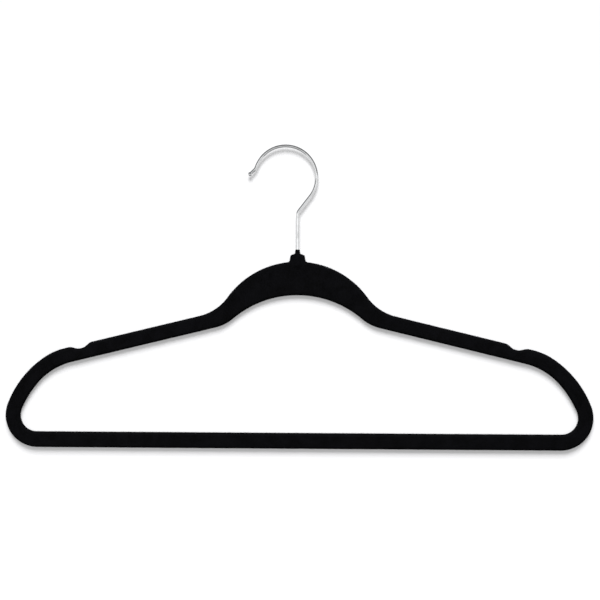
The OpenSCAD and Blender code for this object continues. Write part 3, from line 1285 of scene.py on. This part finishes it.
@dataclass
class Studio:
    """Even white surroundings, a soft light high in front, the cards and panels, and the camera.

    Sizes are in metres in the row frame, apart from those of the cards behind the hanger and the
    camera's place, which are in workshop millimetres. Angles are in degrees.
    """

    centre: Vector
    placement: Placement
    hanger_line: np.ndarray
    hook_line: np.ndarray
    card: StudioPaper = StudioPaper("grey_diffuser_lit_from_behind", "#828283", "#808081", 0.27)
    white: StudioPaper = StudioPaper("white_paper_uncoated", "#F6F6F5", "#F4F4F3")
    grey: StudioPaper = StudioPaper("grey_paper_uncoated", "#8A8A8A", "#888888")
    dark: StudioPaper = StudioPaper("dark_paper_uncoated", "#686868", "#666666")
    card_split: float = 151.5
    hanger_card_y: float = 2.9
    hook_card_y: float = 3.8
    card_cell: float = 2.0
    card_drop: float = 3.5
    card_near: float = 5.0  # how far off the piece's line the card starts to fade
    card_far: float = 7.5
    floor_z: float = -0.37
    floor_size: float = 3.0
    runner: tuple[tuple[float, float], tuple[float, float], float] = ((-0.2, -1.5), (0.2, 1.3), -0.2)
    canopy_r: float = 1.3
    canopy_low: float = 7.0  # angle above the row frame's level at which its wall starts
    canopy_top: float = 1.4
    canopy_wall: float = 0.7  # share of the height that the wall takes
    canopy_lid: float = 0.6  # share of the radius that the lid takes
    canopy_eye: float = 0.05
    canopy_sides: int = 32
    sky: float = 1.02
    key_power: float = 480.0
    key_size: tuple[float, float] = (1.8, 1.8)
    key_offset: tuple[float, float, float] = (0.0, -2.4, 2.4)
    reflector_power: float = 1.3
    reflector_size: tuple[float, float] = (2.4, 0.26)
    reflector_place: tuple[float, float, float] = (0.01, -1.5, 0.01)
    lens: float = 85.0
    sensor: float = 36.0
    clip: tuple[float, float] = (0.05, 50.0)
    camera_place: tuple[float, float, float] = (45.0, -1070.7, 116.9)
    yaw: float = 2.304
    pitch: float = -0.230
    roll: float = 0.158

    def panel(
        self, name: str, points: ArrayLike, faces: Sequence[Sequence[int]], finish: StudioPaper
    ) -> bpy.types.Object:
        """Makes one piece of studio paper that takes shadows and casts none.

        Args:
            name: The panel's name.
            points: Its vertices, in metres in the row frame.
            faces: Vertex numbers of each face.
            finish: What it is made of.

        Returns:
            The panel.
        """
        mesh = bpy.data.meshes.new(name)
        mesh.from_pydata([tuple(point) for point in points], [], faces)
        made = link_object(name, mesh)
        made.data.materials.append(finish.build())
        made.visible_shadow = False
        return made

    def sheet(
        self, name: str, low: tuple[float, float], high: tuple[float, float], z: float,
        finish: StudioPaper,
    ) -> bpy.types.Object:
        """Makes one level sheet.

        Args:
            name: The sheet's name.
            low: Its lowest x and y.
            high: Its highest x and y.
            z: Its height.
            finish: What it is made of.

        Returns:
            The sheet.
        """
        corners = [(*low, z), (high[0], low[1], z), (*high, z), (low[0], high[1], z)]
        return self.panel(name, corners, [(0, 1, 2, 3)], finish)

    def backing(
        self, name: str, line: np.ndarray, y: float, span: tuple[float, float], body: Body
    ) -> None:
        """Hangs a card close behind a piece, which fades out a little way off it and turns with it.

        Args:
            name: The card's name.
            line: Rows of x and z along the piece, in workshop millimetres.
            y: How far behind the middle of the hanger the card hangs, in millimetres.
            span: The lowest and the highest workshop z that the card may reach.
            body: The body it turns with.
        """
        run = lengths_along(line)
        at = np.arange(0, run[-1], self.card_cell)
        line = np.c_[np.interp(at, run, line[:, 0]), np.interp(at, run, line[:, 1]) - self.card_drop]
        low, high = line.min(0) - self.card_far, line.max(0) + self.card_far
        bottom, top = max(low[1], span[0]), min(high[1], span[1])
        columns = math.ceil((high[0] - low[0]) / self.card_cell) + 1
        rows = math.ceil((top - bottom) / self.card_cell) + 1
        grid = np.meshgrid(np.linspace(low[0], high[0], columns), np.linspace(bottom, top, rows))
        x, z = (values.ravel() for values in grid)
        away = np.full(len(x), np.inf)
        for point in line:
            away = np.minimum(away, np.hypot(x - point[0], z - point[1]))
        share = np.clip((away - self.card_near) / (self.card_far - self.card_near), 0, 1)
        starts = (i for row in range(rows - 1) for i in range(row * columns, (row + 1) * columns - 1))
        cells = [[i, i + 1, i + columns + 1, i + columns] for i in starts]
        faces = [cell for cell in cells if min(share[cell]) < 1]
        points = self.placement.place(np.c_[x, np.full(len(x), y), z])
        card = self.panel(name, points, faces, self.card)
        set_attribute(card.data, SEE_THROUGH, share * share * (3 - 2 * share))
        card.visible_diffuse = card.visible_glossy = False
        card.parent = frame["bodies"][body.value]

    def cards(self) -> None:
        """Hangs a card behind the hanger and one behind the hook, which meet at the neck."""
        below, above = (-math.inf, self.card_split), (self.card_split, math.inf)
        self.backing("card_behind_hanger", self.hanger_line, self.hanger_card_y, below, Body.HANGER)
        self.backing("card_behind_hook", self.hook_line, self.hook_card_y, above, Body.HOOK)

    def floor(self) -> None:
        """Lays the floor."""
        z, reach = self.floor_z, self.floor_size
        floor = self.sheet("paper_floor", (-reach, -reach), (reach, reach), z, self.white)
        floor.visible_diffuse = floor.visible_glossy = False

    def canopy(self) -> None:
        """Hangs the grey canopy and the dark runner, which only the plating mirrors."""
        sides, top, reach = self.canopy_sides, self.canopy_top, self.canopy_r
        profile = [
            (self.canopy_eye, top), (self.canopy_lid * reach, top), (reach, self.canopy_wall * top),
            (reach, reach * math.tan(math.radians(self.canopy_low))),
        ]
        points = [(*(towards(360 * i / sides) * r), z) for r, z in profile for i in range(sides)]
        canopy = self.panel("grey_canopy", points, tube_faces(len(profile), sides, False), self.grey)
        runner = self.sheet("dark_runner", *self.runner, self.dark)
        for mirrored in (canopy, runner):
            mirrored.visible_camera = mirrored.visible_diffuse = False

    def light(
        self, name: str, place: Vector, aim: Vector, size: tuple[float, float], power: float
    ) -> bpy.types.Object:
        """Hangs a soft rectangular light.

        Args:
            name: The light's name.
            place: Where it hangs.
            aim: What it points at.
            size: Its width and height.
            power: Its power in watts.

        Returns:
            The light.
        """
        data = bpy.data.lights.new(name, "AREA")
        data.shape, data.energy = "RECTANGLE", power
        data.size, data.size_y = size
        lamp = link_object(name, data)
        lamp.location = place
        lamp.rotation_euler = (aim - place).to_track_quat("-Z", "Y").to_euler()
        return lamp

    def lights(self) -> None:
        """Sets the key light, the reflector that only the plating mirrors, and the white room."""
        key = self.light(
            "key_softbox", self.centre + Vector(self.key_offset), self.centre, self.key_size,
            self.key_power,
        )
        key.visible_glossy = False
        place = Vector(self.reflector_place)
        reflector = self.light(
            "front_reflector", place, place + Vector((0, 1, 0)), self.reflector_size,
            self.reflector_power,
        )
        reflector.visible_diffuse = False
        world = bpy.data.worlds.new("even_white_room")
        world.use_nodes = True
        world.node_tree.nodes.clear()
        add = partial(add_node, world.node_tree)
        sky = add("ShaderNodeBackground", {"Color": (1.0, 1.0, 1.0, 1.0), "Strength": self.sky})
        add("ShaderNodeOutputWorld", {"Surface": sky})
        bpy.context.scene.world = world

    def camera(self) -> None:
        """Sets the camera square to the hanger's front, but for a slight turn and tilt."""
        data = bpy.data.cameras.new("camera")
        data.lens, data.sensor_width = self.lens, self.sensor
        data.clip_start, data.clip_end = self.clip
        camera = link_object("camera", data)
        camera.location = self.placement.place(self.camera_place)
        yaw, pitch = math.radians(self.yaw), math.radians(self.pitch)
        level = math.cos(pitch)
        ahead = Vector((-math.sin(yaw) * level, math.cos(yaw) * level, math.sin(pitch)))
        tilt = Quaternion((0, 0, 1), math.radians(self.roll))
        camera.rotation_euler = (ahead.to_track_quat("-Z", "Y") @ tilt).to_euler()
        bpy.context.scene.camera = camera

    def build(self) -> None:
        """Sets up the whole studio."""
        self.cards()
        self.floor()
        self.canopy()
        self.lights()
        self.camera()
        bpy.context.scene.view_settings.view_transform = "Standard"


def main() -> None:
    """Builds every piece in order and reports each one."""
    logging.basicConfig(level=logging.INFO, format="%(name)s: %(message)s")
    placement = Placement.from_cad()
    cover, hook = FlockCover(placement), WireHook(placement)
    for piece in (Moulding().dress(), *cover.build(), hook.build()):
        log.info("%s: %d faces", piece.name, len(piece.data.polygons))
    low, high = CAD_BOX
    edges = np.vstack(cover.outline.stations())[:, :2]
    Studio((low + high) / 2, placement, edges, hook.centre_line()).build()


if __name__ == "__main__":
    main()
